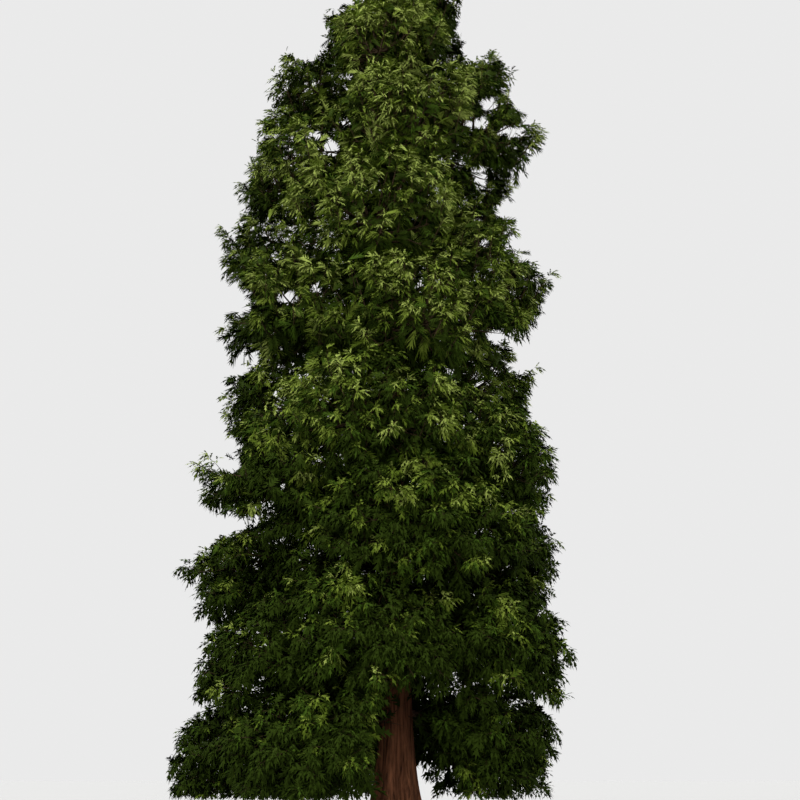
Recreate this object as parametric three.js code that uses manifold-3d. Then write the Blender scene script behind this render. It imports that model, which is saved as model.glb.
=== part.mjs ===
// A bald cypress: a tall, narrow conifer with a fluted trunk, rooted in level ground.
// Millimetres, +Z up. The origin is the middle of the flat cut under the trunk, +X is the
// tree's right as it is seen from the front, and -Y is its front.
import * as THREE from "three";
import { mergeVertices } from "three/addons/utils/BufferGeometryUtils.js";
import Module from "manifold-3d";

const wasm = await Module();
wasm.setup();

// Driving dimensions
const trunk = {
  height: 27300,
  boleRadius: 470,
  tipRadius: 22,
  flareRadius: 450,
  flareHeight: 1150,
  sides: 28,
  rings: 13,
};
const flutes = [
  { count: 7, turn: 0.4, depth: 0.13, fade: 5200 },
  { count: 4, turn: 1.9, depth: 0.06, fade: 7000 },
];
const bough = { radius: 120, tipRadius: 62, sides: 5, segments: 3, highest: 15850 };
const lift = { atGround: -900, perHeight: 0.086 };
const twig = { stemRadius: 58, radius: 40, tipRadius: 18, sides: 3, count: 4, beyond: 420 };
const spray = { count: 8, overhang: 1200, sunk: 0.3, halfWidth: 0.21, thickness: 0.035, roll: 0.9 };
const core = { depth: 0.38, width: 0.45, spike: 1.2, valley: 0.96, uneven: 0.2, inside: 0.82 };
const crown = {
  footShare: 0.27,
  middleShare: 0.59,
  flatness: 1.5,
  clearance: 25,
  lowest: 800,
  narrowsFrom: 26500,
  ragged: 1.1,
};
const goldenAngle = Math.PI * (3 - Math.sqrt(5));
const seatGap = 0.3;

// The masses of foliage on each side of the trunk. A pair is the height of a mass's middle
// and how far from the trunk's middle it reaches.
const sides = [
  {
    name: "left",
    halfHeight: 1450,
    angle: 180,
    swing: 20,
    masses: [
      [2300, 6800],
      [4700, 5500],
      [7300, 6300],
      [10000, 5800],
      [12500, 5200],
      [14900, 5700],
      [17200, 5800],
      [19200, 5100],
      [22700, 4100],
      [25200, 2300],
    ],
  },
  {
    name: "right",
    halfHeight: 1450,
    angle: 0,
    swing: -20,
    masses: [
      [2700, 4700],
      [5200, 5100],
      [7700, 4850],
      [10300, 4700],
      [12900, 4200],
      [15800, 4950],
      [18500, 3600],
      [20800, 4750],
      [23000, 3900],
      [25600, 2200],
    ],
  },
  {
    name: "front",
    halfHeight: 1600,
    angle: 270,
    swing: 14,
    masses: [
      [5500, 5200],
      [8300, 5600],
      [11200, 5400],
      [14200, 5200],
      [17300, 4900],
      [20300, 4300],
      [23300, 3400],
      [25900, 2400],
    ],
  },
  {
    name: "back",
    halfHeight: 1600,
    angle: 90,
    swing: -27,
    masses: [
      [3500, 5400],
      [6600, 5700],
      [9700, 5600],
      [12800, 5400],
      [15900, 5200],
      [18900, 4700],
      [21800, 4000],
      [24500, 2900],
    ],
  },
  { name: "skirt", halfHeight: 1300, angle: 234, swing: 0, masses: [[2500, 5700]] },
];
const top = { middle: 27100, reach: 29400, halfHeight: 1400, halfWidth: 1050 };

const barkMaterial = new THREE.MeshStandardMaterial({ color: 0x5a3a2a, roughness: 0.95 });
const foliageMaterial = new THREE.MeshStandardMaterial({ color: 0x3c5a1c, roughness: 0.8 });
barkMaterial.metalness = 0;
foliageMaterial.metalness = 0;

const radians = THREE.MathUtils.degToRad;
const upward = new THREE.Vector3(0, 0, 1);

// A repeatable row of numbers from 0 to 1.
function seededRandom(seed) {
  let state = (seed * 7919 + 12345) % 2147483647;
  return () => {
    state = (state * 16807) % 2147483647;
    return state / 2147483647;
  };
}

function solidOf(geometry) {
  const bare = geometry.clone();
  bare.deleteAttribute("normal");
  bare.deleteAttribute("uv");
  const merged = mergeVertices(bare, 1e-3);
  return new wasm.Manifold(
    new wasm.Mesh({
      numProp: 3,
      vertProperties: merged.attributes.position.array,
      triVerts: new Uint32Array(merged.index.array),
    }),
  );
}

function geometryOf(solid) {
  const mesh = solid.getMesh();
  const geometry = new THREE.BufferGeometry();
  geometry.setAttribute("position", new THREE.BufferAttribute(mesh.vertProperties, 3));
  geometry.setIndex(new THREE.BufferAttribute(mesh.triVerts, 1));
  geometry.computeVertexNormals();
  return geometry;
}

function movePoints(geometry, place) {
  const position = geometry.attributes.position;
  const point = new THREE.Vector3();
  for (let i = 0; i < position.count; i++) {
    point.fromBufferAttribute(position, i);
    place(point);
    position.setXYZ(i, point.x, point.y, point.z);
  }
  return geometry;
}

// The trunk's radius at a height: a straight taper, and a root flare that fades upwards.
function trunkRadius(height) {
  const taper = Math.pow(Math.max(0, 1 - height / trunk.height), 0.9);
  const flare = trunk.flareRadius * Math.exp(-height / trunk.flareHeight);
  return trunk.tipRadius + (trunk.boleRadius - trunk.tipRadius) * taper + flare;
}

function fluting(height, angle) {
  let depth = 0;
  for (const flute of flutes) {
    const fade = Math.exp(-height / flute.fade);
    depth += flute.depth * fade * Math.cos(flute.count * angle + flute.turn);
  }
  return 1 + depth;
}

// The trunk, or with a margin a slightly fatter one that cuts its neighbours clear of it.
function trunkSolid(margin) {
  const shape = new THREE.CylinderGeometry(1, 1, 1, trunk.sides, trunk.rings);
  movePoints(shape, (p) => {
    const height = (trunk.height + margin) * Math.pow(p.y + 0.5, 1.6);
    const angle = Math.atan2(-p.z, p.x);
    const rim = Math.hypot(p.x, p.z);
    const radius = rim * (trunkRadius(height) * fluting(height, angle) + margin);
    p.set(radius * Math.cos(angle), radius * Math.sin(angle), height);
  });
  return solidOf(shape);
}

// One tapering limb that follows a curve.
function limbSolid(curve, startRadius, endRadius, roundSides, segments) {
  const shape = new THREE.CylinderGeometry(1, 1, 1, roundSides, segments);
  movePoints(shape, (p) => {
    const t = p.y + 0.5;
    const tangent = curve.getTangent(t);
    const across = new THREE.Vector3().crossVectors(upward, tangent);
    if (across.length() < 0.05) across.set(1, 0, 0);
    across.normalize();
    const third = new THREE.Vector3().crossVectors(across, tangent).normalize();
    const radius = THREE.MathUtils.lerp(startRadius, endRadius, t);
    const centre = curve.getPoint(t);
    const { x, z } = p;
    p.copy(centre).addScaledVector(across, x * radius).addScaledVector(third, z * radius);
  });
  return solidOf(shape);
}

// Where each mass stands: its directions, the trunk point it grows from, its foot, its middle,
// its farthest point and the half sizes of its dense middle.
function plansOfSide(side, sideIndex) {
  return side.masses.map(([height, reach], i) => {
    const angle = radians(side.angle + (i % 2 ? side.swing : -side.swing));
    const outward = new THREE.Vector3(Math.cos(angle), Math.sin(angle), 0);
    const rise = lift.atGround + lift.perHeight * height;
    const at = (share, z) => outward.clone().multiplyScalar(share * reach).setZ(z);
    return {
      label: `${side.name}_${String(i + 1).padStart(2, "0")}`,
      seed: 100 * (sideIndex + 1) + i,
      outward,
      sideways: new THREE.Vector3(-outward.y, outward.x, 0),
      upright: upward,
      origin: at(0, height - rise),
      foot: at(crown.footShare, height - 0.45 * rise),
      middle: at(crown.middleShare, height),
      stemEnd: at(crown.middleShare, height),
      reach: at(1, height + 0.9 * rise),
      halfDepth: core.depth * reach,
      halfWidth: core.width * reach,
      halfHeight: side.halfHeight,
      hasBough: height < bough.highest,
    };
  });
}

function planOfTop() {
  const tip = new THREE.Vector3(0, 0, trunk.height);
  return {
    label: "top",
    seed: 900,
    outward: upward,
    sideways: new THREE.Vector3(1, 0, 0),
    upright: new THREE.Vector3(0, 1, 0),
    origin: tip,
    foot: tip,
    middle: new THREE.Vector3(0, 0, top.middle),
    stemEnd: new THREE.Vector3(0, 0, top.middle + 0.8 * top.halfHeight),
    reach: new THREE.Vector3(0, 0, top.reach),
    halfDepth: top.halfHeight,
    halfWidth: top.halfWidth,
    halfHeight: top.halfWidth,
    hasBough: false,
  };
}

// How far the masses of a side reach at a height, between one mass and the next.
function reachOfSide(name, height) {
  const { masses } = sides.find((side) => side.name === name);
  const next = masses.findIndex(([middle]) => middle > height);
  if (next === 0) return masses[0][1];
  if (next < 0) return masses[masses.length - 1][1];
  const [[low, lowReach], [high, highReach]] = masses.slice(next - 1, next + 1);
  return THREE.MathUtils.mapLinear(height, low, high, lowReach, highReach);
}

// The crown's outline: its radius at a point's height and direction, narrowing to the tip.
function outlineRadius(point) {
  const across = reachOfSide(point.x < 0 ? "left" : "right", point.z);
  const along = reachOfSide(point.y < 0 ? "front" : "back", point.z);
  const angle = Math.atan2(point.y, point.x);
  const narrowing = (top.reach - point.z) / (top.reach - crown.narrowsFrom);
  return Math.min(1, narrowing) * Math.hypot(across * Math.cos(angle), along * Math.sin(angle));
}

// A point is in a mass's own space where it is inside a share of the crown's outline and that
// mass's middle is the nearest, by a measure that counts height more, so that the masses are
// wider than tall.
function inOwnSpace(point, plan, plans, share) {
  if (point.z < crown.lowest || point.z > top.reach) return false;
  if (Math.hypot(point.x, point.y) > share * outlineRadius(point)) return false;
  const flat = (v) => new THREE.Vector3(v.x, v.y, v.z * crown.flatness);
  const here = flat(point);
  const own = flat(plan.middle);
  return plans.every((other) => {
    if (other === plan) return true;
    const theirs = flat(other.middle);
    const lead = here.distanceToSquared(theirs) - here.distanceToSquared(own);
    return lead / (2 * own.distanceTo(theirs)) >= crown.clearance;
  });
}

function pointsInOwnSpace(geometry, plan, plans) {
  const position = geometry.attributes.position;
  const point = new THREE.Vector3();
  for (let i = 0; i < position.count; i++) {
    point.fromBufferAttribute(position, i);
    if (!inOwnSpace(point, plan, plans, crown.ragged)) return false;
  }
  return true;
}

// A spray of needles as a toothed blade, thick in the middle, from its root to its tip.
const sprayOutline = [
  [0, 0],
  [0.52, 1],
  [0.6, 0.45],
  [0.78, 0.72],
  [1, 0],
  [0.78, -0.72],
  [0.6, -0.45],
  [0.52, -1],
];

function sprayGeometry(root, tip, roll) {
  const along = tip.clone().sub(root);
  const length = along.length();
  along.normalize();
  const across = new THREE.Vector3().crossVectors(upward, along);
  if (across.length() < 0.05) across.set(1, 0, 0);
  across.normalize().applyAxisAngle(along, roll);
  const face = new THREE.Vector3().crossVectors(across, along);
  const points = sprayOutline.length;
  return movePoints(new THREE.SphereGeometry(1, points, 2), (p) => {
    const pole = Math.abs(p.y) > 0.5 ? Math.sign(p.y) : 0;
    const step = Math.round((Math.atan2(p.z, -p.x) / (2 * Math.PI)) * points);
    const [share, width] = pole ? [0.56, 0] : sprayOutline[(step + points) % points];
    p.copy(root)
      .addScaledVector(along, share * length)
      .addScaledVector(across, width * spray.halfWidth * length)
      .addScaledVector(face, (pole * spray.thickness * length) / 2);
  });
}

// A direction that leaves the line of the mass by an opening angle, turned round that line.
function openDirection(plan, open, turn) {
  return plan.outward
    .clone()
    .multiplyScalar(Math.cos(open))
    .addScaledVector(plan.sideways, Math.sin(open) * Math.cos(turn))
    .addScaledVector(plan.upright, Math.sin(open) * Math.sin(turn));
}

// From the middle to the surface of the mass's dense ball, in a direction.
function armTo(plan, direction) {
  const x = direction.dot(plan.outward) / plan.halfDepth;
  const y = direction.dot(plan.sideways) / plan.halfWidth;
  const z = direction.dot(plan.upright) / plan.halfHeight;
  return direction.clone().multiplyScalar(1 / Math.hypot(x, y, z));
}

// The dense middle of a mass: a ball of tufts that stays in the mass's own space. The corners of
// an icosahedron are its tufts, and the points between them are the dips.
function coreSolid(plan, plans, random) {
  const ball = new THREE.IcosahedronGeometry(1, 1);
  ball.deleteAttribute("normal");
  ball.deleteAttribute("uv");
  const corners = new THREE.IcosahedronGeometry(1, 0).attributes.position;
  const corner = new THREE.Vector3();
  const isTuft = (p) => {
    for (let i = 0; i < corners.count; i++) {
      if (corner.fromBufferAttribute(corners, i).distanceTo(p) < 0.01) return true;
    }
    return false;
  };
  const lumpy = movePoints(mergeVertices(ball, 1e-3), (p) => {
    const size = (isTuft(p) ? core.spike : core.valley) * (1 - core.uneven * random());
    const within = core.inside * THREE.MathUtils.lerp(1, size, 0.7);
    const direction = new THREE.Vector3()
      .addScaledVector(plan.outward, p.x)
      .addScaledVector(plan.sideways, p.y)
      .addScaledVector(plan.upright, p.z);
    const arm = armTo(plan, direction).multiplyScalar(size);
    let share = 1;
    do {
      p.copy(plan.middle).addScaledVector(arm, share);
      share -= 0.06;
    } while (share > 0.2 && !inOwnSpace(p, plan, plans, within));
  });
  return solidOf(lumpy);
}

// The sprays stand out of the dense middle by turns round its line, the first one to the
// farthest point of the mass, and each shorter where it would leave the mass's own space.
function sprayLines(plan, random) {
  const lines = [];
  for (let i = 0; i < spray.count; i++) {
    const open = i ? 0.45 + (1.45 * i) / spray.count : 0;
    const direction = openDirection(plan, open, goldenAngle * i + 0.5 * random());
    const arm = armTo(plan, direction);
    const root = plan.middle.clone().addScaledVector(arm, spray.sunk);
    const overhang = spray.overhang * (0.75 + 0.5 * random());
    const tip = plan.middle
      .clone()
      .add(arm)
      .addScaledVector(direction, overhang)
      .addScaledVector(upward, 0.35 * overhang * (random() - 0.4));
    const roll = spray.roll * (random() < 0.5 ? 1 : -1) * (0.4 + 0.6 * random());
    lines.push({ root, tip: i ? tip : plan.reach, roll });
  }
  return lines;
}

function ownSpray(line, plan, plans) {
  for (const size of [1, 0.88, 0.76, 0.64]) {
    const tip = line.root.clone().lerp(line.tip, size);
    const blade = sprayGeometry(line.root, tip, line.roll);
    if (pointsInOwnSpace(blade, plan, plans)) return solidOf(blade);
  }
  return null;
}

// The side twigs leave the stem in turns and end outside the dense middle, each in a spray.
function twigLines(plan, random) {
  const lines = [];
  for (let i = 0; i < twig.count; i++) {
    const from = plan.foot.clone().lerp(plan.stemEnd, 0.3 + (0.6 * i) / twig.count);
    const open = 1.2 + 0.5 * random();
    const direction = openDirection(plan, open, goldenAngle * i + 2 + 0.6 * random());
    const to = plan.middle.clone().add(armTo(plan, direction));
    to.addScaledVector(direction, twig.beyond);
    const roll = spray.roll * (random() - 0.5);
    lines.push({ from, to, root: from.clone().lerp(to, 0.6), tip: from.clone().lerp(to, 1.4), roll });
  }
  return lines;
}

function largestPiece(solid) {
  const loose = solid.decompose();
  return loose.reduce((a, b) => (b.volume() > a.volume() ? b : a));
}

// A piece is fused on only where the result is still one body with no sealed hollow in it.
function fused(solid, piece) {
  const joined = solidOf(geometryOf(solid.add(piece)));
  return joined.decompose().length === 1 ? joined : solid;
}

function massSolid(plan, plans, limbs) {
  const random = seededRandom(plan.seed);
  const isClear = (piece) => piece.intersect(limbs).isEmpty();
  const stemPath = new THREE.LineCurve3(plan.hasBough ? plan.foot : plan.origin, plan.stemEnd);
  const stem = limbSolid(stemPath, twig.stemRadius, twig.radius, twig.sides + 1, 1);
  const ball = coreSolid(plan, plans, random);
  let solid = largestPiece(stem.add(ball).subtract(limbs));
  for (const line of twigLines(plan, random)) {
    const path = new THREE.LineCurve3(line.from, line.to);
    const side = limbSolid(path, twig.radius, twig.tipRadius, twig.sides, 1);
    const blade = ownSpray(line, plan, plans);
    if (blade && isClear(side) && isClear(blade)) solid = fused(solid, side.add(blade));
  }
  for (const line of sprayLines(plan, random)) {
    const blade = ownSpray(line, plan, plans);
    if (blade && isClear(blade)) solid = fused(solid, blade);
  }
  return solid;
}

// A bough, or with a margin a slightly fatter and longer one that cuts its neighbours clear of it.
function boughSolid(plan, fatTrunk, margin) {
  const bend = plan.origin.clone().lerp(plan.foot, 0.55);
  bend.z += 0.15 * plan.foot.distanceTo(plan.origin);
  const end = plan.foot.clone().sub(bend).normalize().multiplyScalar(margin).add(plan.foot);
  const curve = new THREE.QuadraticBezierCurve3(plan.origin, bend, end);
  const whole = limbSolid(
    curve,
    bough.radius + margin,
    bough.tipRadius + margin,
    bough.sides,
    bough.segments,
  );
  return largestPiece(whole.subtract(fatTrunk));
}

function namedMesh(solid, name, material) {
  const mesh = new THREE.Mesh(geometryOf(solid), material);
  mesh.name = name;
  return mesh;
}

const tree = new THREE.Group();
const bole = trunkSolid(0);
const fatTrunk = trunkSolid(seatGap);
tree.add(namedMesh(bole, "trunk", barkMaterial));

const plans = sides.flatMap(plansOfSide);
plans.push(planOfTop());
let limbs = fatTrunk;
for (const plan of plans) {
  if (plan.hasBough) {
    const solid = boughSolid(plan, fatTrunk, 0);
    limbs = limbs.add(boughSolid(plan, fatTrunk, seatGap));
    tree.add(namedMesh(solid, `bough_${plan.label}`, barkMaterial));
  }
}
for (const plan of plans) {
  tree.add(namedMesh(massSolid(plan, plans, limbs), `foliage_${plan.label}`, foliageMaterial));
}

export default tree;
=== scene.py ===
# A bald cypress in full leaf: bark, boughs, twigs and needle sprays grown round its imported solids.
# Metres, +Z up, and the tree's front faces -Y.
import math
import bmesh
import bpy
import numpy as np
from mathutils import Matrix, Vector, noise


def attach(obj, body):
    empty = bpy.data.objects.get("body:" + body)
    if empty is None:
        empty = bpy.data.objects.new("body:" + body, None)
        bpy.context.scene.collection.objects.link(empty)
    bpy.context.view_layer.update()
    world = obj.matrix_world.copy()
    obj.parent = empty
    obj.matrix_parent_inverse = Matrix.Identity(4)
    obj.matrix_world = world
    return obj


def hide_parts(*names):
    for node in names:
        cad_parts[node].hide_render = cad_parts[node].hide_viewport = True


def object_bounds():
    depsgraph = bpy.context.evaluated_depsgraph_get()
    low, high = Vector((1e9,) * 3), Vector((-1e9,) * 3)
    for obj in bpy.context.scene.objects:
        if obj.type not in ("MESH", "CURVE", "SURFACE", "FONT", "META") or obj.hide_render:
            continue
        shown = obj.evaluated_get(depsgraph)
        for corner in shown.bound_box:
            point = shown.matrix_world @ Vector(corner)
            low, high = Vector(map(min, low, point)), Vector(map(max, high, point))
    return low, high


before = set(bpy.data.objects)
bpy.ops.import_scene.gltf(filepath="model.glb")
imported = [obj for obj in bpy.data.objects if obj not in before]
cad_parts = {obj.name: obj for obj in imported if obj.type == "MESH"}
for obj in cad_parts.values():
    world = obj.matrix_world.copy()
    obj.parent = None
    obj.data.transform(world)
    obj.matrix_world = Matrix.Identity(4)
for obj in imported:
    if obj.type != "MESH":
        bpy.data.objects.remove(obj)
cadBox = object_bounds()
goldenAngle = math.pi * (3 - math.sqrt(5))
upward = np.array([0.0, 0.0, 1.0])
eye = np.array([0.0, -45.0, 1.6])

# The tree's own rule of growth, in the same values as its solids

trunk = {
    "height": 27.3,
    "boleRadius": 0.47,
    "tipRadius": 0.022,
    "flareRadius": 0.45,
    "flareHeight": 1.15,
    "taper": 0.9,
    "flutes": [(7, 0.4, 0.13, 5.2), (4, 1.9, 0.06, 7.0)],  # (count, turn, depth, height)
}
crown = {
    "footShare": 0.27,
    "footRise": 0.45,
    "middleShare": 0.59,
    "reachRise": 0.9,
    "flatness": 1.5,
    "clearance": 0.025,
    "lowest": 0.8,
    "boxRoom": 0.25,
    "narrowsFrom": 26.5,
    "leastRadius": 0.05,
    "ragged": 1.1,
    "interleaved": -0.5,
    "pointed": 1.6,
    "plume": 1.5,
    "plumeInside": 0.9,
    "plumesMerge": (0.5, 0.82),
    "tipRoom": 0.05,
    "uneven": 0.1,
    "unevenOutline": 0.4,
    "waves": ((2.1, 1.7, 2.9), (-1.4, 2.3, 1.9)),
    "liftAtGround": -0.9,
    "liftPerHeight": 0.086,
    "coreDepth": 0.38,
    "coreWidth": 0.45,
    "highestBough": 15.85,
}
top = {"middle": 27.1, "reach": 29.4, "halfHeight": 1.4, "halfWidth": 1.05, "stemShare": 0.8}

# Each side's masses are (height, reach); they swing to one side of its angle and the other by turns.
sides = {
    "left": {
        "halfHeight": 1.45,
        "angle": 180,
        "swing": 20,
        "masses": [
            (2.3, 6.8), (4.7, 5.5), (7.3, 6.3), (10.0, 5.8), (12.5, 5.2),
            (14.9, 5.7), (17.2, 5.8), (19.2, 5.1), (22.7, 4.1), (25.2, 2.3),
        ],
    },
    "right": {
        "halfHeight": 1.45,
        "angle": 0,
        "swing": -20,
        "masses": [
            (2.7, 4.7), (5.2, 5.1), (7.7, 4.85), (10.3, 4.7), (12.9, 4.2),
            (15.8, 4.95), (18.5, 3.6), (20.8, 4.75), (23.0, 3.9), (25.6, 2.2),
        ],
    },
    "front": {
        "halfHeight": 1.6,
        "angle": 270,
        "swing": 14,
        "masses": [
            (5.5, 5.2), (8.3, 5.6), (11.2, 5.4), (14.2, 5.2),
            (17.3, 4.9), (20.3, 4.3), (23.3, 3.4), (25.9, 2.4),
        ],
    },
    "back": {
        "halfHeight": 1.6,
        "angle": 90,
        "swing": -27,
        "masses": [
            (3.5, 5.4), (6.6, 5.7), (9.7, 5.6), (12.8, 5.4),
            (15.9, 5.2), (18.9, 4.7), (21.8, 4.0), (24.5, 2.9),
        ],
    },
    "skirt": {"halfHeight": 1.3, "angle": 234, "swing": 0, "masses": [(2.5, 5.7)]},
}


def unit(vectors):
    return vectors / np.maximum(np.linalg.norm(vectors, axis=-1, keepdims=True), 1e-9)


def lerp(a, b, share):
    return a + (b - a) * share


def sourceRandom(seed):
    state = (seed * 7919 + 12345) % 2147483647
    while True:
        state = state * 16807 % 2147483647
        yield state / 2147483647


def plansOfSide(name, sideIndex):
    side = sides[name]
    plans = []
    for i, (height, reach) in enumerate(side["masses"]):
        angle = math.radians(side["angle"] + (side["swing"] if i % 2 else -side["swing"]))
        outward = np.array([math.cos(angle), math.sin(angle), 0.0])
        rise = crown["liftAtGround"] + crown["liftPerHeight"] * height

        def at(share, z):
            return np.array([*(share * reach * outward[:2]), z])

        plans.append({
            "label": f"{name}_{i + 1:02d}",
            "seed": 100 * (sideIndex + 1) + i,
            "outward": outward,
            "sideways": np.array([-outward[1], outward[0], 0.0]),
            "upright": upward,
            "origin": at(0, height - rise),
            "foot": at(crown["footShare"], height - crown["footRise"] * rise),
            "middle": at(crown["middleShare"], height),
            "stemEnd": at(crown["middleShare"], height),
            "reach": at(1, height + crown["reachRise"] * rise),
            "halfSizes": (crown["coreDepth"] * reach, crown["coreWidth"] * reach, side["halfHeight"]),
            "hasBough": height < crown["highestBough"],
        })
    return plans


def planOfTop():
    tip = np.array([0.0, 0.0, trunk["height"]])
    return {
        "label": "top",
        "seed": 900,
        "outward": upward,
        "sideways": np.array([1.0, 0.0, 0.0]),
        "upright": np.array([0.0, 1.0, 0.0]),
        "origin": tip,
        "foot": tip,
        "middle": np.array([0.0, 0.0, top["middle"]]),
        "stemEnd": np.array([0.0, 0.0, top["middle"] + top["stemShare"] * top["halfHeight"]]),
        "reach": np.array([0.0, 0.0, top["reach"]]),
        "halfSizes": (top["halfHeight"], top["halfWidth"], top["halfWidth"]),
        "hasBough": False,
    }


plans = [plan for i, name in enumerate(sides) for plan in plansOfSide(name, i)]
plans.append(planOfTop())
flatMiddles = np.array([plan["middle"] for plan in plans]) * (1, 1, crown["flatness"])


def outlineRadius(points):
    x, y, z = points.T
    reach = {
        name: np.interp(z, *zip(*sides[name]["masses"])) for name in ("left", "right", "front", "back")
    }
    across = np.where(x < 0, reach["left"], reach["right"])
    along = np.where(y < 0, reach["front"], reach["back"])
    angle = np.arctan2(y, x)
    narrowing = np.clip((top["reach"] - z) / (top["reach"] - crown["narrowsFrom"]), 0, 1)
    return narrowing * np.hypot(across * np.cos(angle), along * np.sin(angle))


def outerShare(points):
    return np.hypot(points[:, 0], points[:, 1]) / np.maximum(outlineRadius(points), crown["leastRadius"])


# How far points lie from a mass's middle, as a share of its half sizes. The shape of one share is
# a plume, pointed at its outer end, along the line from the middle to its farthest point.
def plumeShare(points, plan):
    offset = points - plan["middle"]
    depth = offset @ plan["outward"]
    line = plan["reach"] - plan["middle"]
    slope = line @ plan["upright"] / (line @ plan["outward"])
    parts = np.abs(np.stack([
        depth / plan["halfSizes"][0],
        offset @ plan["sideways"] / plan["halfSizes"][1],
        (offset @ plan["upright"] - slope * np.maximum(depth, 0)) / plan["halfSizes"][2],
    ]))
    return (parts ** crown["pointed"]).sum(axis=0) ** (1 / crown["pointed"])


# Whether points lie in a mass's own space: inside a share of the crown's outline, with that
# mass's middle the nearest, by a measure that counts height more.
def inOwnSpace(points, index, share, clearance=crown["clearance"]):
    z = points[:, 2]
    inside = (z >= crown["lowest"]) & (z <= top["reach"]) & (outerShare(points) <= share)
    gaps = np.linalg.norm(points[:, None] * (1, 1, crown["flatness"]) - flatMiddles, axis=2)
    apart = np.maximum(2 * np.linalg.norm(flatMiddles - flatMiddles[index], axis=1), 1e-9)
    lead = (gaps ** 2 - gaps[:, index:index + 1] ** 2) / apart
    lead[:, index] = np.inf
    return inside & (lead >= clearance).all(axis=1)


def smoothStep(low, high, values):
    t = np.clip((values - low) / (high - low), 0, 1)
    return t * t * (3 - 2 * t)


# How high in the crown, from nought to one. Where a setting is a pair, these are its two ends.
heights = {"low": 6.0, "high": 17.0}


def highAt(z):
    return smoothStep(heights["low"], heights["high"], z)


# How wide a mass's plume is: its point stands free at the crown's outline and merges further in.
def plumeLimit(points, most):
    return most + crown["plumeInside"] * (1 - smoothStep(*crown["plumesMerge"], outerShare(points)))


def inBox(points):
    low, high = np.array(cadBox)
    return ((points > low - crown["boxRoom"]) & (points < high + crown["boxRoom"])).all(axis=1)


# The finest twigs and sprays may reach a little in among the neighbours' own.
def inPlume(points, index, share, most):
    wave, crossWave = crown["waves"]
    uneven = crown["uneven"] * np.sin(points @ wave + index) * np.sin(points @ crossWave)
    shaped = plumeShare(points, plans[index]) <= plumeLimit(points, most) + uneven
    share = share + crown["unevenOutline"] * uneven
    return shaped & inBox(points) & inOwnSpace(points, index, share, crown["interleaved"])


# Openings where the sky shows, as the tree is seen from its front: (x, height, halves across and up)
openings = [
    # right side, from the top
    (2.6, 24.6, 0.45, 0.75), (3.1, 24.85, 0.9, 0.6), (4.05, 22.75, 0.45, 0.5), (2.95, 22.4, 0.33, 0.25),
    (2.5, 21.75, 0.5, 0.25), (3.65, 21.45, 0.45, 0.2), (2.7, 19.9, 0.25, 0.3), (3.65, 18.85, 0.6, 0.25),
    (4.6, 18.2, 0.6, 0.9), (2.65, 18.5, 0.25, 0.1), (2.75, 17.7, 0.2, 0.15), (4.2, 17.2, 0.5, 0.15),
    (4.0, 17.7, 0.5, 0.25), (4.95, 15.5, 0.45, 0.55), (3.1, 14.7, 0.35, 0.2), (4.4, 14.2, 0.6, 0.3),
    (3.8, 13.7, 0.45, 0.18),
    # left side, from the top
    (-2.1, 26.7, 1.2, 1.0), (-2.75, 24.75, 0.5, 0.75), (-1.5, 23.4, 0.15, 0.15), (-1.6, 21.8, 0.25, 0.2),
    (-2.5, 21.3, 0.2, 0.15), (-2.0, 20.9, 0.3, 0.3), (-4.75, 20.8, 0.4, 0.45), (-5.0, 20.05, 0.35, 0.4),
    (-1.5, 18.6, 0.2, 0.2), (-2.45, 16.2, 0.2, 0.2), (-3.3, 15.9, 0.35, 0.25), (-5.2, 15.85, 0.85, 0.55),
    (-4.3, 14.0, 0.15, 0.25), (-4.9, 13.6, 0.5, 0.15), (-5.1, 11.2, 0.5, 0.3), (-5.0, 10.6, 0.4, 0.2),
    (-3.4, 10.0, 0.15, 0.2), (-3.85, 9.45, 0.2, 0.15), (-5.0, 8.85, 0.6, 0.25),
]

# How near foliage stands to the middle of an opening, as a share of its size, and to the trunk.
# One more opening, which counts only in front of the trunk, leaves its foot in view.
clearing = {
    "trunkView": (0.2, 1.7, 0.8, 1.9),
    "behind": 10,
    "edge": (0.7, 1.4),
    "limbs": 1,
    "branchlets": 0.85,
    "spraysAt": 0.6,
    "trunk": (1.2, 0.05),
}


# How far points lie from the nearest opening's middle, as a share of its own size
def openShare(points):
    scale = -eye[1] / (points[:, 1] - eye[1])
    x = points[:, 0] * scale
    z = eye[2] + (points[:, 2] - eye[2]) * scale
    places = [*openings, clearing["trunkView"]]
    shares = [np.hypot((x - middle) / across, (z - height) / up) for middle, height, across, up in places]
    shares[-1] += clearing["behind"] * (points[:, 1] > 0)
    return np.min(shares, axis=0)


def inOpening(points, random):
    return openShare(points) < random.uniform(*clearing["edge"], len(points))


def openDirection(plan, opening, turn):
    return (
        plan["outward"] * math.cos(opening)
        + plan["sideways"] * math.sin(opening) * math.cos(turn)
        + plan["upright"] * math.sin(opening) * math.sin(turn)
    )


def armTo(plan, direction):
    depth, width, height = plan["halfSizes"]
    parts = (
        direction @ plan["outward"] / depth,
        direction @ plan["sideways"] / width,
        direction @ plan["upright"] / height,
    )
    return direction / math.hypot(*parts)


def trunkRadius(height):
    taper = max(0.0, 1 - height / trunk["height"]) ** trunk["taper"]
    flare = trunk["flareRadius"] * math.exp(-height / trunk["flareHeight"])
    return trunk["tipRadius"] + (trunk["boleRadius"] - trunk["tipRadius"]) * taper + flare


def fluting(height, angle):
    return 1 + sum(
        depth * math.exp(-height / fade) * math.cos(count * angle + turn)
        for count, turn, depth, fade in trunk["flutes"]
    )


# Limbs: the lines of the source's twigs and sprays, in its own values, and finer ones that fill
# between them

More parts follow.
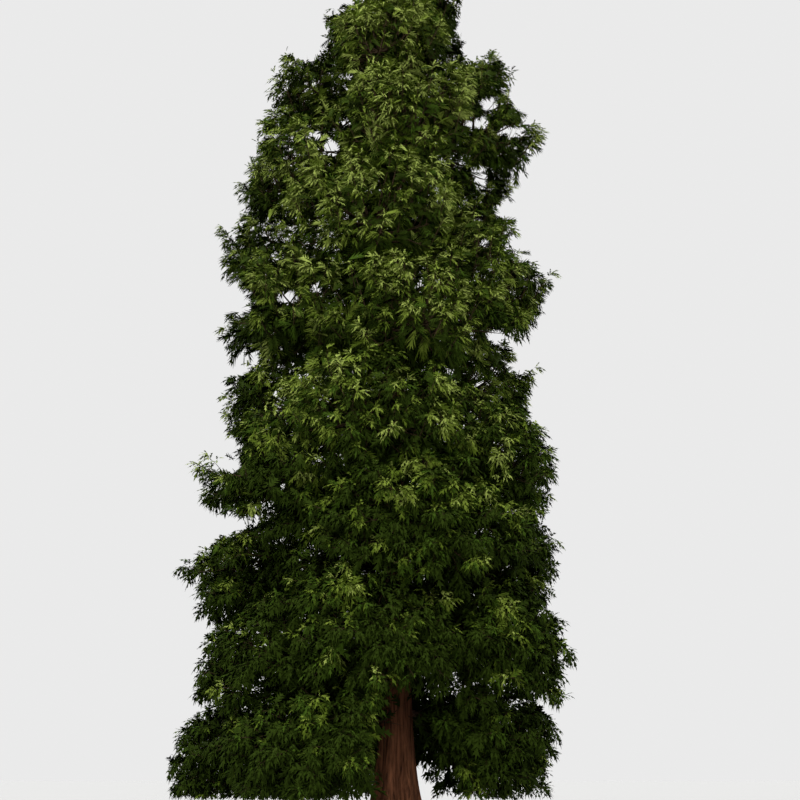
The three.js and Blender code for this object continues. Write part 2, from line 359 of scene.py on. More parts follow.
source = {
    "coreDraws": 42,
    "twigs": 4,
    "twigFrom": (0.3, 0.6),
    "twigOpening": (1.2, 0.5),
    "twigTurn": (2, 0.6),
    "twigBeyond": 0.42,
    "twigBend": 0.6,
    "twigEnd": 1.4,
    "sprays": 8,
    "sprayFrom": (0.45, 0.5),
    "sprayOpening": (0.45, 1.45),
    "sprayTurn": 0.5,
    "overhang": 1.2,
    "overhangShare": (0.75, 0.5),
    "overhangRise": (0.35, 0.4),
    "sunk": 0.3,
}
limb = {
    "sourceShare": 1.08,
    "tries": 15,
    "shortest": 0.3,
    "room": 0.75,
    "sideRoom": 0.25,
    "plumeRoom": 0.25,
    "fills": 28,
    "fillDirections": 120,
    "fillSpacing": 1.3,
    "fillShare": 1.06,
    "fillSpan": (0.25, 1.5),
    "fillFlatness": 1.5,
    "fillDips": (0.7, 1.0),
    "swept": 0.45,
    "onStem": (0.15, 0.95),
    "bow": (0.14, -0.14),
    "points": 5,
    "radius": 0.042,
    "tipRadius": 0.014,
    "sides": 4,
}


def sourceLines(plan):
    draw = sourceRandom(plan["seed"])
    for _ in range(source["coreDraws"]):  # the numbers that shape the mass's dense middle
        next(draw)

    def stemPoint(place, i, count):
        first, run = source[place]
        return lerp(plan["foot"], plan["stemEnd"], first + run * i / count)

    lines = []
    opened, openedMore = source["twigOpening"]
    turned, turnedMore = source["twigTurn"]
    for i in range(source["twigs"]):
        begin = stemPoint("twigFrom", i, source["twigs"])
        opening = opened + openedMore * next(draw)
        direction = openDirection(plan, opening, goldenAngle * i + turned + turnedMore * next(draw))
        end = plan["middle"] + armTo(plan, direction) + direction * source["twigBeyond"]
        next(draw)
        lines.append((begin, lerp(begin, end, source["twigBend"]), lerp(begin, end, source["twigEnd"])))
    opened, openedMore = source["sprayOpening"]
    least, more = source["overhangShare"]
    rise, level = source["overhangRise"]
    for i in range(source["sprays"]):
        opening = opened + openedMore * i / source["sprays"] if i else 0.0
        direction = openDirection(plan, opening, goldenAngle * i + source["sprayTurn"] * next(draw))
        arm = armTo(plan, direction)
        overhang = source["overhang"] * (least + more * next(draw))
        tip = plan["middle"] + arm + direction * overhang + upward * rise * overhang * (next(draw) - level)
        next(draw), next(draw)
        begin = stemPoint("sprayFrom", i, source["sprays"])
        root = plan["middle"] + arm * source["sunk"]
        lines.append((begin, root, tip if i else plan["reach"]))
    return lines


# The farthest point of a line that leaves room for twigs inside the mass's own space, or None
def farthest(root, tip, index, share):
    steps = np.linspace(1, limb["shortest"], limb["tries"])[:, None]
    points = lerp(root, tip, steps)
    outward = unit(points * (1, 1, 0)) * limb["room"]
    beyond = points + unit(tip - root) * limb["sideRoom"]
    fits = inOwnSpace(beyond, index, share) & (outerShare(points + outward) <= share)
    fits &= plumeShare(points, plans[index]) <= plumeLimit(points, crown["plume"]) - limb["plumeRoom"]
    return points[np.argmax(fits)] if fits.any() else None


def spherePoints(count):
    i = np.arange(count)
    z = 1 - 2 * (i + 0.5) / count
    r = np.sqrt(1 - z * z)
    return np.stack([r * np.cos(goldenAngle * i), r * np.sin(goldenAngle * i), z], axis=1)


def fillEnds(plan, index, dips):
    near, far = limb["fillSpan"]
    ends = []
    for (x, y, z), dip in zip(spherePoints(limb["fillDirections"]), dips):
        direction = unit(x * plan["outward"] + y * plan["sideways"] + z * plan["upright"])
        arm = armTo(plan, direction)
        end = farthest(plan["middle"] + near * arm, plan["middle"] + far * arm, index, limb["fillShare"])
        if end is not None:
            ends.append(lerp(plan["middle"], end, dip))
    return ends


def limbsOfMass(plan, index, random):
    limbs = []
    dips = random.uniform(*limb["fillDips"], limb["fillDirections"])
    for begin, root, tip in sourceLines(plan):
        end = farthest(root, tip, index, limb["sourceShare"])
        if end is not None:
            limbs.append((begin, root, end))
    stem = plan["stemEnd"] - plan["foot"]
    candidates = fillEnds(plan, index, dips)
    for _ in range(limb["fills"]):
        ends = np.array([end for _, _, end in limbs]) if limbs else plan["middle"][None]
        flat = (1, 1, limb["fillFlatness"])
        spread = np.array([np.linalg.norm((ends - end) * flat, axis=1).min() for end in candidates])
        if not len(spread) or spread.max() < limb["fillSpacing"]:
            break
        end = candidates[int(np.argmax(spread * outerShare(np.array(candidates))))]
        along = (end - plan["foot"]) @ stem / max(stem @ stem, 1e-6)
        side = np.linalg.norm(end - plan["foot"] - along * stem)
        share = np.clip(along - limb["swept"] * side / np.linalg.norm(stem), *limb["onStem"])
        begin = plan["foot"] + share * stem
        bow = lerp(*limb["bow"], highAt(end[2]))
        control = lerp(begin, end, 0.5) + bow * upward * np.linalg.norm(end - begin)
        limbs.append((begin, control, end))
    return np.array(limbs)


# A limb or twig is a curve by its start, bend and end; here are those of many, each as one array.
def threePoints(lines):
    return [lines[:, None, i] for i in range(3)]


def curvePoints(start, bend, end, t):
    t = np.asarray(t)[..., None]
    return (1 - t) ** 2 * start + 2 * t * (1 - t) * bend + t ** 2 * end


def curveDirections(start, bend, end, t):
    t = np.asarray(t)[..., None]
    return unit((1 - t) * (bend - start) + t * (end - bend))


nearlyUpright = 0.05


def acrossAndOver(directions):
    across = np.cross(directions, upward)
    flat = np.linalg.norm(across, axis=-1, keepdims=True) < nearlyUpright
    across = unit(np.where(flat, np.array([1.0, 0.0, 0.0]), across))
    return across, np.cross(across, directions)


# Every finer line leaves its parent in turns of the golden angle, as in the source: branchlets on
# the limbs, shoots on the branchlets and sprays on the shoots.

growth = {
    "alongSpread": 0.04,
    "turnSpread": 0.4,
    "openingSpread": (0.8, 1.2),
    "lengthSpread": (0.75, 1.2),
    "shortened": (1, 0.8, 0.6),
    "tipSag": 0.4,
}
branchlet = {
    "count": (8, 6),
    "from": 0.5,
    "length": (0.75, 0.95),
    "tipLength": (0.5, 1.0),
    "opening": (1.25, 1.1),
    "tipOpening": 0.35,
    "flatten": 0.5,
    "upturn": (0.4, 1.5),
    "arch": (0.2, -0.1),
    "radius": 0.014,
    "tipRadius": 0.006,
    "points": 3,
    "sides": 3,
}
shoot = {
    "count": (5, 8),
    "from": (0.45, 0.2),
    "length": (0.28, 0.27),
    "tipLength": (0.2, 0.1),
    "opening": (1.4, 1.3),
    "tipOpening": (0.5, 0.2),
    "flatten": (0.8, 0.5),
    "upturn": (0.1, -0.6),
    "arch": (0.2, 0.25),
    "radius": 0.006,
    "tipRadius": 0.003,
    "points": 2,
    "sides": 3,
}
innerTwig = {
    "count": 12,
    "from": 0.15,
    "length": 1.3,
    "tipLength": 1.1,
    "opening": 1.35,
    "tipOpening": 1.0,
    "flatten": 1.0,
    "upturn": 0.0,
    "arch": 0.1,
    "radius": 0.018,
    "tipRadius": 0.008,
    "points": 3,
    "sides": 3,
}


def eitherWay(random, most, shape):
    return random.uniform(-most, most, shape)


def flattened(*arrays):
    return [a.reshape(-1, *a.shape[2:]) for a in arrays]


def ruleAt(rule, high):
    at = {name: lerp(*value, high) if isinstance(value, tuple) else value for name, value in rule.items()}
    at["count"] = round(at["count"])
    return at


# Where the children of each parent leave it, and in which directions
def turnsAbout(parents, rule, random):
    curves = threePoints(parents)
    t = np.linspace(rule["from"], 1, rule["count"])[None] * np.ones((len(parents), 1))
    t[:, :-1] += eitherWay(random, growth["alongSpread"], t[:, :-1].shape)
    base = curvePoints(*curves, t)
    along = curveDirections(*curves, t)
    across, over = acrossAndOver(along)
    turn = goldenAngle * np.arange(rule["count"])[None] + random.uniform(0, 2 * math.pi, (len(parents), 1))
    turn = turn + eitherWay(random, growth["turnSpread"], turn.shape)
    outness = (t - rule["from"]) / (1 - rule["from"])
    opening = lerp(rule["opening"], rule["tipOpening"], outness)
    opening = opening * random.uniform(*growth["openingSpread"], t.shape)
    lateral = unit(across * np.cos(turn)[..., None] + over * (rule["flatten"] * np.sin(turn))[..., None])
    direction = along * np.cos(opening)[..., None] + lateral * np.sin(opening)[..., None]
    direction = unit(direction + upward * rule["upturn"])
    length = lerp(rule["length"], rule["tipLength"], outness)
    return base, direction, lateral, length * random.uniform(*growth["lengthSpread"], t.shape)


def sprout(parents, rule, index, random):
    base, direction, _, length = turnsAbout(parents, rule, random)
    parent = np.arange(len(parents))[:, None] * np.ones(length.shape, int)
    base, direction, length, parent = flattened(base, direction, length, parent)
    reach = np.zeros(len(base))
    for share in growth["shortened"]:
        tips = base + direction * (length * share)[:, None]
        now = inPlume(tips, index, crown["ragged"], crown["plume"]) & (reach == 0)
        reach[now] = (length * share)[now]
    fits = reach > 0
    base, direction, reach, parent = base[fits], direction[fits], reach[fits, None], parent[fits]
    arch = rule["arch"] * reach * upward
    middle = base + direction * 0.5 * reach + 0.5 * arch
    tip = base + direction * reach - growth["tipSag"] * np.maximum(arch, 0)
    return np.stack([base, middle, tip], axis=1), parent


# Sprays: a feather of leaflets on a thin rib

spray = {
    "count": (7, 8),
    "from": (0.25, 0.05),
    "length": (0.31, 0.33),
    "tipLength": 0.28,
    "opening": (1.1, 0.8),
    "tipOpening": (0.3, 0.2),
    "flatten": (0.95, 0.9),
    "upturn": (-0.15, -0.2),
    "faceUp": (0.8, 0.7),
    "faceAside": 0.4,
    "uneven": 0.2,
    "droop": (0.4, 0.35),
}
leaflets = {
    "rib": 0.9,
    "tipShare": 0.6,
    "standAt": 0.6,
    "tipWidth": 0.06,
    "tipEnd": 1.02,
    "sweep": (0.9, 2.0),
    "outer": ((0.2, 0.17), (0.13, 0.1)),
    "fold": (0.3, 0.6),
    "inner": ((0.24, 0.27, 0.2), (0.23, 0.26, 0.18)),
    "innerFold": (0.3, 0.3),
}

# Sprays that stand along the wood itself fill the inner crown.
innerSpray = {
    "per": {"limbs": 22, "stem": 36, "bough": 20, "inner": 14, "trunkSide": 70, "branchlets": 4},
    "trunkFrom": 4.6,
    "trunkReach": 1.5,
    "trunkClear": (1.25, 0.1),
    "from": 0.1,
    "to": 1.0,
    "opening": (0.7, 1.3),
    "length": (0.68, 0.42),
    "droop": 0.3,
    "within": 0.95,
}


# One spray's leaflets: (along, across, over) of its points, as shares of its length, and its
# triangles. The widths are those of its pairs of leaflets, from its root to its tip.
def sprayShape(kind, foldKind, high):
    widths = lerp(*np.array(leaflets[kind]), high)
    fold, sweep = lerp(*leaflets[foldKind], high), lerp(*leaflets["sweep"], high)
    step = leaflets["rib"] * (1 - leaflets["tipShare"] / (len(widths) + 1)) / len(widths)
    points = [(i * step, 0, 0) for i in range(len(widths) + 1)]
    faces = []
    for i, width in enumerate(widths):
        for side in (1, -1):
            along = (i + leaflets["standAt"]) * step + sweep * width
            points.append((along, side * width, -fold * width))
            ends = (i, i + 1) if side < 0 else (i + 1, i)
            faces.append((*ends, len(points) - 1))
    last, half = len(widths) * step, leaflets["tipWidth"]
    points += [(last, half, 0), (last, -half, 0), (leaflets["tipEnd"], 0, 0)]
    faces.append((len(points) - 3, len(points) - 2, len(points) - 1))
    return np.array(points, float), np.array(faces)


def spraysOfShoots(shoots, high, random):
    rule = ruleAt(spray, high)
    root, direction, lateral, length = turnsAbout(shoots, rule, random)
    uneven = rule["uneven"] * random.normal(size=direction.shape)
    normal = upward * rule["faceUp"] + rule["faceAside"] * lateral + uneven
    return flattened(root, direction, normal, length, rule["droop"] * np.ones_like(length)), rule["count"]


def spraysOfLimbs(limbs, count, random):
    curves = threePoints(limbs)
    t = np.linspace(innerSpray["from"], innerSpray["to"], count)[None]
    t = t + eitherWay(random, growth["alongSpread"], (len(limbs), count))
    root = curvePoints(*curves, t)
    along = curveDirections(*curves, t)
    across, over = acrossAndOver(along)
    turn = random.uniform(0, 2 * math.pi, t.shape)
    opening = random.uniform(*innerSpray["opening"], t.shape)
    lateral = across * np.cos(turn)[..., None] + over * np.sin(turn)[..., None]
    direction = unit(along * np.cos(opening)[..., None] + lateral * np.sin(opening)[..., None])
    normal = random.normal(size=direction.shape)
    outness = np.clip(outerShare(root.reshape(-1, 3)).reshape(t.shape), 0, 1)
    length = lerp(*innerSpray["length"], outness) * random.uniform(*growth["lengthSpread"], t.shape)
    return flattened(root, direction, normal, length, innerSpray["droop"] * np.ones_like(t))


def layOutSprays(shape, root, direction, normal, length, droop):
    side = unit(np.cross(normal, direction))
    normal = np.cross(direction, side)
    x, y, z = (column[None, :, None] for column in shape.T)
    spread = x * direction[:, None] + y * side[:, None] + z * normal[:, None]
    sag = (length * droop)[:, None, None] * x ** 2 * upward
    return root[:, None] + length[:, None, None] * spread - sag


def tubes(lines, rule):
    count, points, sideCount = len(lines), rule["points"], rule["sides"]
    curves, t = threePoints(lines), np.linspace(0, 1, points)
    everyT = t[None] * np.ones((count, 1))
    path = curvePoints(*curves, everyT)
    across, over = acrossAndOver(curveDirections(*curves, everyT))
    radii = lerp(rule["radius"], rule["tipRadius"], t)[None, :-1, None, None]
    angles = 2 * math.pi * np.arange(sideCount) / sideCount
    ring = (
        across[:, :-1, None] * np.cos(angles)[None, None, :, None]
        + over[:, :-1, None] * np.sin(angles)[None, None, :, None]
    )
    rings = path[:, :-1, None] + radii * ring
    vertices = np.concatenate([rings.reshape(count, -1, 3), path[:, -1:]], axis=1)
    faces = []
    for r in range(points - 2):
        for s in range(sideCount):
            a, b = r * sideCount + s, r * sideCount + (s + 1) % sideCount
            faces += [(a, b, b + sideCount), (a, b + sideCount, a + sideCount)]
    last = (points - 2) * sideCount
    faces += [(last + s, last + (s + 1) % sideCount, last + sideCount) for s in range(sideCount)]
    return vertices, np.array(faces)


# Every copy of a shape in one list of triangles
def joined(vertices, faces):
    count, each = vertices.shape[:2]
    offsets = (np.arange(count) * each)[:, None, None]
    return vertices.reshape(-1, 3), (faces[None] + offsets).reshape(-1, 3)


# Triangles turned to face the way their points' normals do
def facing(points, triangles, normals):
    a, b, c = (points[triangles[:, i]] for i in range(3))
    away = (np.cross(b - a, c - a) * normals[triangles].mean(axis=1)).sum(axis=1) < 0
    triangles[away] = triangles[away][:, ::-1]
    return triangles


def inScene(name, data):
    piece = bpy.data.objects.new(name, data)
    bpy.context.scene.collection.objects.link(piece)
    return piece


def triangleMesh(name, parts, materials):
    mesh = bpy.data.meshes.new(name)
    vertices, faces, slots, normals, offset = [], [], [], [], 0
    for part in parts:
        vertices.append(part["points"])
        faces.append(part["triangles"] + offset)
        slots.append(np.broadcast_to(part.get("slots", 0), len(part["triangles"])))
        normals.append(part.get("normals", part["points"][:0]))
        offset += len(part["points"])
    vertices, faces, slots, normals = map(np.concatenate, (vertices, faces, slots, normals))
    mesh.vertices.add(len(vertices))
    mesh.vertices.foreach_set("co", vertices.astype(np.float32).ravel())
    mesh.loops.add(3 * len(faces))
    mesh.loops.foreach_set("vertex_index", faces.astype(np.int32).ravel())
    mesh.polygons.add(len(faces))
    mesh.polygons.foreach_set("loop_start", np.arange(0, 3 * len(faces), 3, dtype=np.int32))
    for material in materials:
        mesh.materials.append(material)
    mesh.polygons.foreach_set("material_index", slots.astype(np.int32))
    mesh.update(calc_edges=True)
    if len(normals):
        mesh.normals_split_custom_set_from_vertices(normals.astype(np.float32))
    return inScene(name, mesh)


def meshPiece(bm, name, material):
    bmesh.ops.recalc_face_normals(bm, faces=bm.faces[:])
    mesh = bpy.data.meshes.new(name)
    bm.to_mesh(mesh)
    bm.free()
    mesh.materials.append(material)
    return inScene(name, mesh)


def finishPiece(piece, nodes, slot):
    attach(piece, "root")
    if nodes:
        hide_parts(*nodes)
    print(piece.name, len(piece.data.polygons), "faces")


# Materials

def setInputs(node, values):
    for name, value in values.items():
        node.inputs[name].default_value = value


def newNodes(nodes, *kinds):
    return [nodes.new(f"ShaderNode{kind}") for kind in kinds]


def newMaterial(name, values):
    material = bpy.data.materials.new(name)
    material.use_nodes = True
    shader = material.node_tree.nodes["Principled BSDF"]
    setInputs(shader, values)
    return material, shader


def fibreGroup():
    tree = bpy.data.node_groups.new("barkFibres", "ShaderNodeTree")
    sockets = {
        "INPUT": {"Dark": "Color", "Light": "Color", "Across": "Float", "Along": "Float"},
        "OUTPUT": {"Color": "Color", "Height": "Float"},
    }
    for way, kinds in sockets.items():
        for name, kind in kinds.items():
            tree.interface.new_socket(name, in_out=way, socket_type=f"NodeSocket{kind}")
    nodes, links = tree.nodes, tree.links
    inputs, outputs = nodes.new("NodeGroupInput"), nodes.new("NodeGroupOutput")
    place, scale, stretch, strips, ramp, mix = newNodes(
        nodes, "TexCoord", "CombineXYZ", "VectorMath", "TexNoise", "MapRange", "Mix",
    )
    for name, axis in (("Across", "X"), ("Across", "Y"), ("Along", "Z")):
        links.new(inputs.outputs[name], scale.inputs[axis])
    stretch.operation = "MULTIPLY"
    links.new(place.outputs["Object"], stretch.inputs[0])
    links.new(scale.outputs[0], stretch.inputs[1])
    setInputs(strips, {"Scale": 1.0, "Detail": 6.0, "Roughness": 0.62, "Distortion": 0.35})
    links.new(stretch.outputs[0], strips.inputs["Vector"])
    setInputs(ramp, {"From Min": 0.32, "From Max": 0.7})
    links.new(strips.outputs["Fac"], ramp.inputs["Value"])
    mix.data_type = "RGBA"
    links.new(ramp.outputs[0], mix.inputs["Factor"])
    links.new(inputs.outputs["Dark"], mix.inputs["A"])
    links.new(inputs.outputs["Light"], mix.inputs["B"])
    links.new(mix.outputs["Result"], outputs.inputs["Color"])
    links.new(strips.outputs["Fac"], outputs.inputs["Height"])
    return tree


fibres = fibreGroup()


def barkMaterial(name, dark, light, across, along, relief):
    material, shader = newMaterial(name, {"Roughness": 0.92, "Specular IOR Level": 0.1})
    nodes, links = material.node_tree.nodes, material.node_tree.links
    strips, bump = newNodes(nodes, "Group", "Bump")
    strips.node_tree = fibres
    setInputs(strips, {"Dark": (*dark, 1), "Light": (*light, 1), "Across": across, "Along": along})
    setInputs(bump, {"Strength": 0.8, "Distance": relief})
    links.new(strips.outputs["Color"], shader.inputs["Base Color"])
    links.new(strips.outputs["Height"], bump.inputs["Height"])
    links.new(bump.outputs["Normal"], shader.inputs["Normal"])
    return material


def leafMaterial(name, colour):
    looks = {"Base Color": (*colour, 1), "Roughness": 0.7, "Specular IOR Level": 0.03}
    material, _ = newMaterial(name, looks)
    material.diffuse_color = (*colour, 1)
    return material


# One leaf green in five steps, as lit and shaded copies: the darkest is painted shade and the lightest a
# painted highlight; the steps also carry random tone and lighter fresh growth.
leafTones = {
    "leafShade": (0.024, 0.041, 0.004),
    "leafDeep": (0.036, 0.068, 0.006),
    "leafMiddle": (0.077, 0.115, 0.011),
    "leafFreshAndLit": (0.147, 0.199, 0.027),
    "leafTipAndLit": (0.245, 0.305, 0.065),
}
trunkBark = barkMaterial(
    "trunkBark", dark=(0.012, 0.0045, 0.002), light=(0.2, 0.078, 0.037), across=13, along=0.9, relief=0.03,
)
boughBark = barkMaterial(
    "boughBark", dark=(0.02, 0.011, 0.007), light=(0.1, 0.055, 0.034), across=9, along=6, relief=0.012,
)
twigBark = barkMaterial(
    "twigBark", dark=(0.025, 0.015, 0.008), light=(0.075, 0.05, 0.026), across=6, along=6, relief=0.003,
)
leafMaterials = [leafMaterial(name, colour) for name, colour in leafTones.items()]

# Foliage

# What makes a spray's tone lighter or darker: painted light and shade by its place, height and facing,
# and random tone. Its place among the steps picks its leaf tone.
tones = {
    # Outer sprays painted lighter and inner ones darker: painted light and shade on the crown.
    "outer": 0.26,
    "outerLightSpan": (0.4, 1.05),
    # Sprays high in their mass painted lighter: painted light from above.
    "height": 0.08,
    # Sprays that face up painted lighter: painted light from above.
    "up": 0.05,
    "limb": 0.32,
    "branchlet": 0.5,
    "tuft": 0.06,
    "spray": 0.04,
    "shade": -0.12,
    "usualShade": 0.8,
    # Painted shade on the crown's left and right sides, more so high up.
    "sideShade": (-0.2, -0.55),
    "sideShadeSpan": (0.45, 0.9),
    # Inner sprays a little darker: painted shade. Those deep within take one tone, painted shade low in
    # the crown and lifted to painted light towards the top.
    "inner": -0.05,
    "dimWithin": 0.5,
    "dimTone": 2,
    # Painted light on the tops of clumps and tufts and painted shade below them.
    "clumpTopLight": ((0.5, 0.25), (-0.5, 0.4)),
    "tuftTopLight": ((0.95, 1.0), (-0.3, 0.3)),
    # The lower crown painted darker: painted shade.
    "low": -0.56,
    "rise": (0.5, 19.0),
    "steps": (0.1, 0.3, 0.53, 0.84),
    # Patches: random tone of fresh growth, and painted shade in the darker ones.
    "patch": (1.1, 1.75),
    "patchSize": 0.85,
    "patchShed": (-0.7, -0.26),
}
mostTriangles = 190000  # in one joined piece
stemTube = {"radius": 0.058, "tipRadius": 0.036, "points": 5, "sides": 6}
tubeRules = {"stem": stemTube, "limbs": limb, "inner": innerTwig, "branchlets": branchlet, "shoots": shoot}

# Twigs that stand in deep shade are shed, as on a living tree.
shade = {"cell": 0.5, "leafArea": 0.035, "shed": (0.4, 1.2), "innerShed": (2.0, 3.2)}

# How rounded the shading of a tuft, a limb's clump and each spray is
rounding = {
    "tuft": 1.0,
    "clump": 0.4,
    "crown": 0.6,
    "own": 0.06,
    "tuftDepth": 0.08,
    "clumpDepth": 0.3,
    "tuftAt": (0.3, 1.0),
}


def inClearSpace(root, direction, length, droop, index, random):
    tips = root + direction * length[:, None] - (length * droop)[:, None] * upward
    wider, gap = clearing["trunk"]
    bare = np.array([trunkRadius(z) * wider + gap for z in root[:, 2]])
    clear = np.minimum(np.hypot(*root[:, :2].T), np.hypot(*tips[:, :2].T)) > bare
    clear &= ~inOpening(lerp(root, tips, clearing["spraysAt"]), random)
    own = inPlume(root, index, crown["ragged"], crown["plume"])
    return clear & own & inPlume(tips, index, crown["ragged"], crown["plume"] + crown["tipRoom"])


# Tone comes in patches: lighter ones of fresh growth, darker ones of painted shade as in hollows, and
# in the darkest the sprays are shed.
def patchAt(root):
    return np.array([noise.noise(Vector(place)) for place in root / tones["patchSize"]])


# A spray's step of leaf tone: mostly painted light and shade, with patches and random tone
def toneOf(root, normal, chance, index, shadeAt):
    plan = plans[index]
    massTopLight = smoothStep(-1, 1, (root - plan["middle"])[:, 2] / plan["halfSizes"][2])
    lowShade = 1 - smoothStep(*tones["rise"], root[:, 2])
    high = highAt(root[:, 2])
    sideShade = smoothStep(*tones["sideShadeSpan"], np.abs(root[:, 0]) / outlineRadius(root))
    value = (
        tones["outer"] * smoothStep(*tones["outerLightSpan"], outerShare(root))
        + tones["height"] * massTopLight
        + tones["up"] * unit(normal)[:, 2]
        + tones["low"] * lowShade
        + tones["shade"] * (shadeAt(root) - tones["usualShade"])
        + lerp(*tones["sideShade"], high) * sideShade
        + lerp(*tones["patch"], high) * patchAt(root)
        + chance
    )
    return np.digitize(value, tones["steps"])


def straight(start, end):
    return np.array([[start, lerp(start, end, 0.5), end]])


# A line up the trunk where a mass's bough leaves it
def besideTrunk(plan):
    wider, gap = innerSpray["trunkClear"]
    away = wider * trunkRadius(plan["origin"][2]) + gap
    foot = plan["origin"] + plan["outward"] * away * (1, 1, 0)
    rise = innerSpray["trunkReach"] * upward
    return straight(foot - rise, foot + rise)


def growWood(plan, index, high, random):
    limbs = limbsOfMass(plan, index, random)
    limbs = limbs[openShare(limbs[:, 2]) > clearing["limbs"]]
    branchlets, limbOf = sprout(limbs, ruleAt(branchlet, high), index, random)
    clear = ~inOpening(branchlets[:, 1], random)
    clear &= openShare(branchlets[:, 2]) > clearing["branchlets"]
    branchlets, limbOf = branchlets[clear], limbOf[clear]
    shoots, branchletOf = sprout(branchlets, ruleAt(shoot, high), index, random)
    clear = ~inOpening(shoots[:, 0], random) & ~inOpening(shoots[:, 2], random)
    stem = straight(plan["foot"] if plan["hasBough"] else plan["origin"], plan["stemEnd"])
    bough = straight(plan["origin"], plan["foot"])
    lines = [sprout(line, ruleAt(innerTwig, high), index, random)[0] for line in (bough, stem)]
    wood = {
        "limbs": limbs,
        "branchlets": branchlets,
        "limbOf": limbOf,
        "shoots": shoots[clear],
        "branchletOf": branchletOf[clear],
        "stem": stem,
        "bough": bough,
        "inner": np.concatenate(lines),
    }
    if plan["origin"][2] > innerSpray["trunkFrom"]:
        wood["trunkSide"] = besideTrunk(plan)
    return wood


# A grid of the least leaf area between each place and the open air, along the three axes
def shadeGrid(tips):
    cell = shade["cell"]
    low = tips.min(axis=0) - cell
    places = ((tips - low) / cell).astype(int)
    grid = np.zeros(places.max(axis=0) + 2)
    np.add.at(grid, tuple(places.T), shade["leafArea"] / cell ** 2)
    depths = []
    for axis in range(3):
        before = np.cumsum(grid, axis) - 0.5 * grid
        depths += [before, before.max(axis=axis, keepdims=True) - before]
    least = np.min(depths, axis=0)

    def shadeAt(points):
        places = np.clip(((points - low) / cell).astype(int), 0, np.array(grid.shape) - 1)
        return least[tuple(places.T)]

    return shadeAt


# Only the chosen shoots stay, with the branchlets that bear them.
def keepShoots(wood, chosen):
    wood["shoots"] = wood["shoots"][chosen]
    bearing, wood["branchletOf"] = np.unique(wood["branchletOf"][chosen], return_inverse=True)
    wood["branchlets"] = wood["branchlets"][bearing]
    wood["limbOf"] = wood["limbOf"][bearing]


def shedShaded(wood, shadeAt, random):
    shoots = wood["shoots"]
    keepShoots(wood, shadeAt(shoots[:, 2]) < random.uniform(*shade["shed"], len(shoots)))


def tuftNormals(points, normal, tuft, clump):
    fromTuft = unit(points - tuft[:, None] + rounding["tuftDepth"] * upward)
    fromClump = unit(points - clump[:, None] + rounding["clumpDepth"] * upward)
    own = unit(normal * np.sign(normal[:, 2:] + 0.001))[:, None]
    fromTrunk = unit(points * (1, 1, 0))
    return unit(
        rounding["tuft"] * fromTuft
        + rounding["clump"] * fromClump
        + rounding["crown"] * fromTrunk
        + rounding["own"] * own
    )


def sprayPart(shape, faces, sprays, tone, tuftAndClump):
    points = layOutSprays(shape, *sprays)
    normals = tuftNormals(points, sprays[2], *tuftAndClump)
    flatPoints, triangles = joined(points, faces)
    normals = normals.reshape(-1, 3)
    return {
        "points": flatPoints,
        "triangles": facing(flatPoints, triangles, normals),
        "slots": np.repeat(tone, len(faces)),
        "normals": normals,
    }


# Lighter or darker by chance, by up to half of the setting
def chanceTone(name, count, random):
    return tones[name] * random.uniform(-0.5, 0.5, count)


# Sprays on top of a clump or a tuft are painted lighter than those that hang below: painted light from
# above and painted shade beneath. A setting says by how much, and between which heights from its middle.
def topLightTone(name, root, middle, high):
    amounts, span = tones[name]
    return lerp(*amounts, high) * (smoothStep(*span, (root - middle)[:, 2]) - 0.5)


def outerSprays(wood, index, high, shadeAt, random):
    rows, perShoot = spraysOfShoots(wood["shoots"], high, random)
    root, direction, normal, length, droop = rows
    branchletOf = np.repeat(wood["branchletOf"], perShoot)
    limbOf = wood["limbOf"][branchletOf]
    clump = wood["limbs"][limbOf, 2]
    _, bend, end = (wood["branchlets"][branchletOf, i] for i in range(3))
    tuft = lerp(end, bend, lerp(*rounding["tuftAt"], high))
    chance = chanceTone("limb", len(wood["limbs"]), random)[limbOf]
    chance += chanceTone("branchlet", len(wood["branchlets"]), random)[branchletOf]
    chance += np.repeat(chanceTone("tuft", len(wood["shoots"]), random), perShoot)
    chance += chanceTone("spray", len(limbOf), random)
    chance += topLightTone("clumpTopLight", root, clump, high)
    chance += topLightTone("tuftTopLight", root, tuft, high)
    tone = toneOf(root, normal, chance, index, shadeAt)
    keep = inClearSpace(root, direction, length, droop, index, random)
    keep &= patchAt(root) > lerp(*tones["patchShed"], high)
    keepShoots(wood, keep.reshape(-1, perShoot).sum(axis=1) > 1)
    shape, faces = sprayShape("outer", "fold", high)
    return sprayPart(shape, faces, [row[keep] for row in rows], tone[keep], (tuft[keep], clump[keep]))


def innerSprays(wood, index, high, shadeAt, random):
    counts = {name: count for name, count in innerSpray["per"].items() if name in wood}
    lines = [spraysOfLimbs(wood[name], count, random) for name, count in counts.items()]
    rows = [np.concatenate(columns) for columns in zip(*lines)]
    root, direction, normal, length, droop = rows
    outness = outerShare(root)
    keep = inClearSpace(root, direction, length, droop, index, random)
    keep &= outness < innerSpray["within"]
    keep &= shadeAt(root) < random.uniform(*shade["innerShed"], len(root))
    shape, faces = sprayShape("inner", "innerFold", high)
    chance = tones["inner"] + chanceTone("tuft", len(root), random)
    tone = toneOf(root, normal, chance, index, shadeAt)
    # Deep inside, one tone: painted shade low down, painted light lifting the gaps higher up.
    tone[outness < tones["dimWithin"]] = round(tones["dimTone"] * high)
    rows = [row[keep] for row in rows]
    middle = np.broadcast_to(plans[index]["middle"], rows[0].shape)
    return sprayPart(shape, faces, rows, tone[keep], (rows[0], middle))


def woodParts(wood):
    parts = []
    for name, rule in tubeRules.items():
        points, triangles = joined(*tubes(wood[name], rule))
        parts.append({"points": points, "triangles": triangles})
    return parts


def triangleCount(parts):
    return sum(len(part["triangles"]) for part in parts)


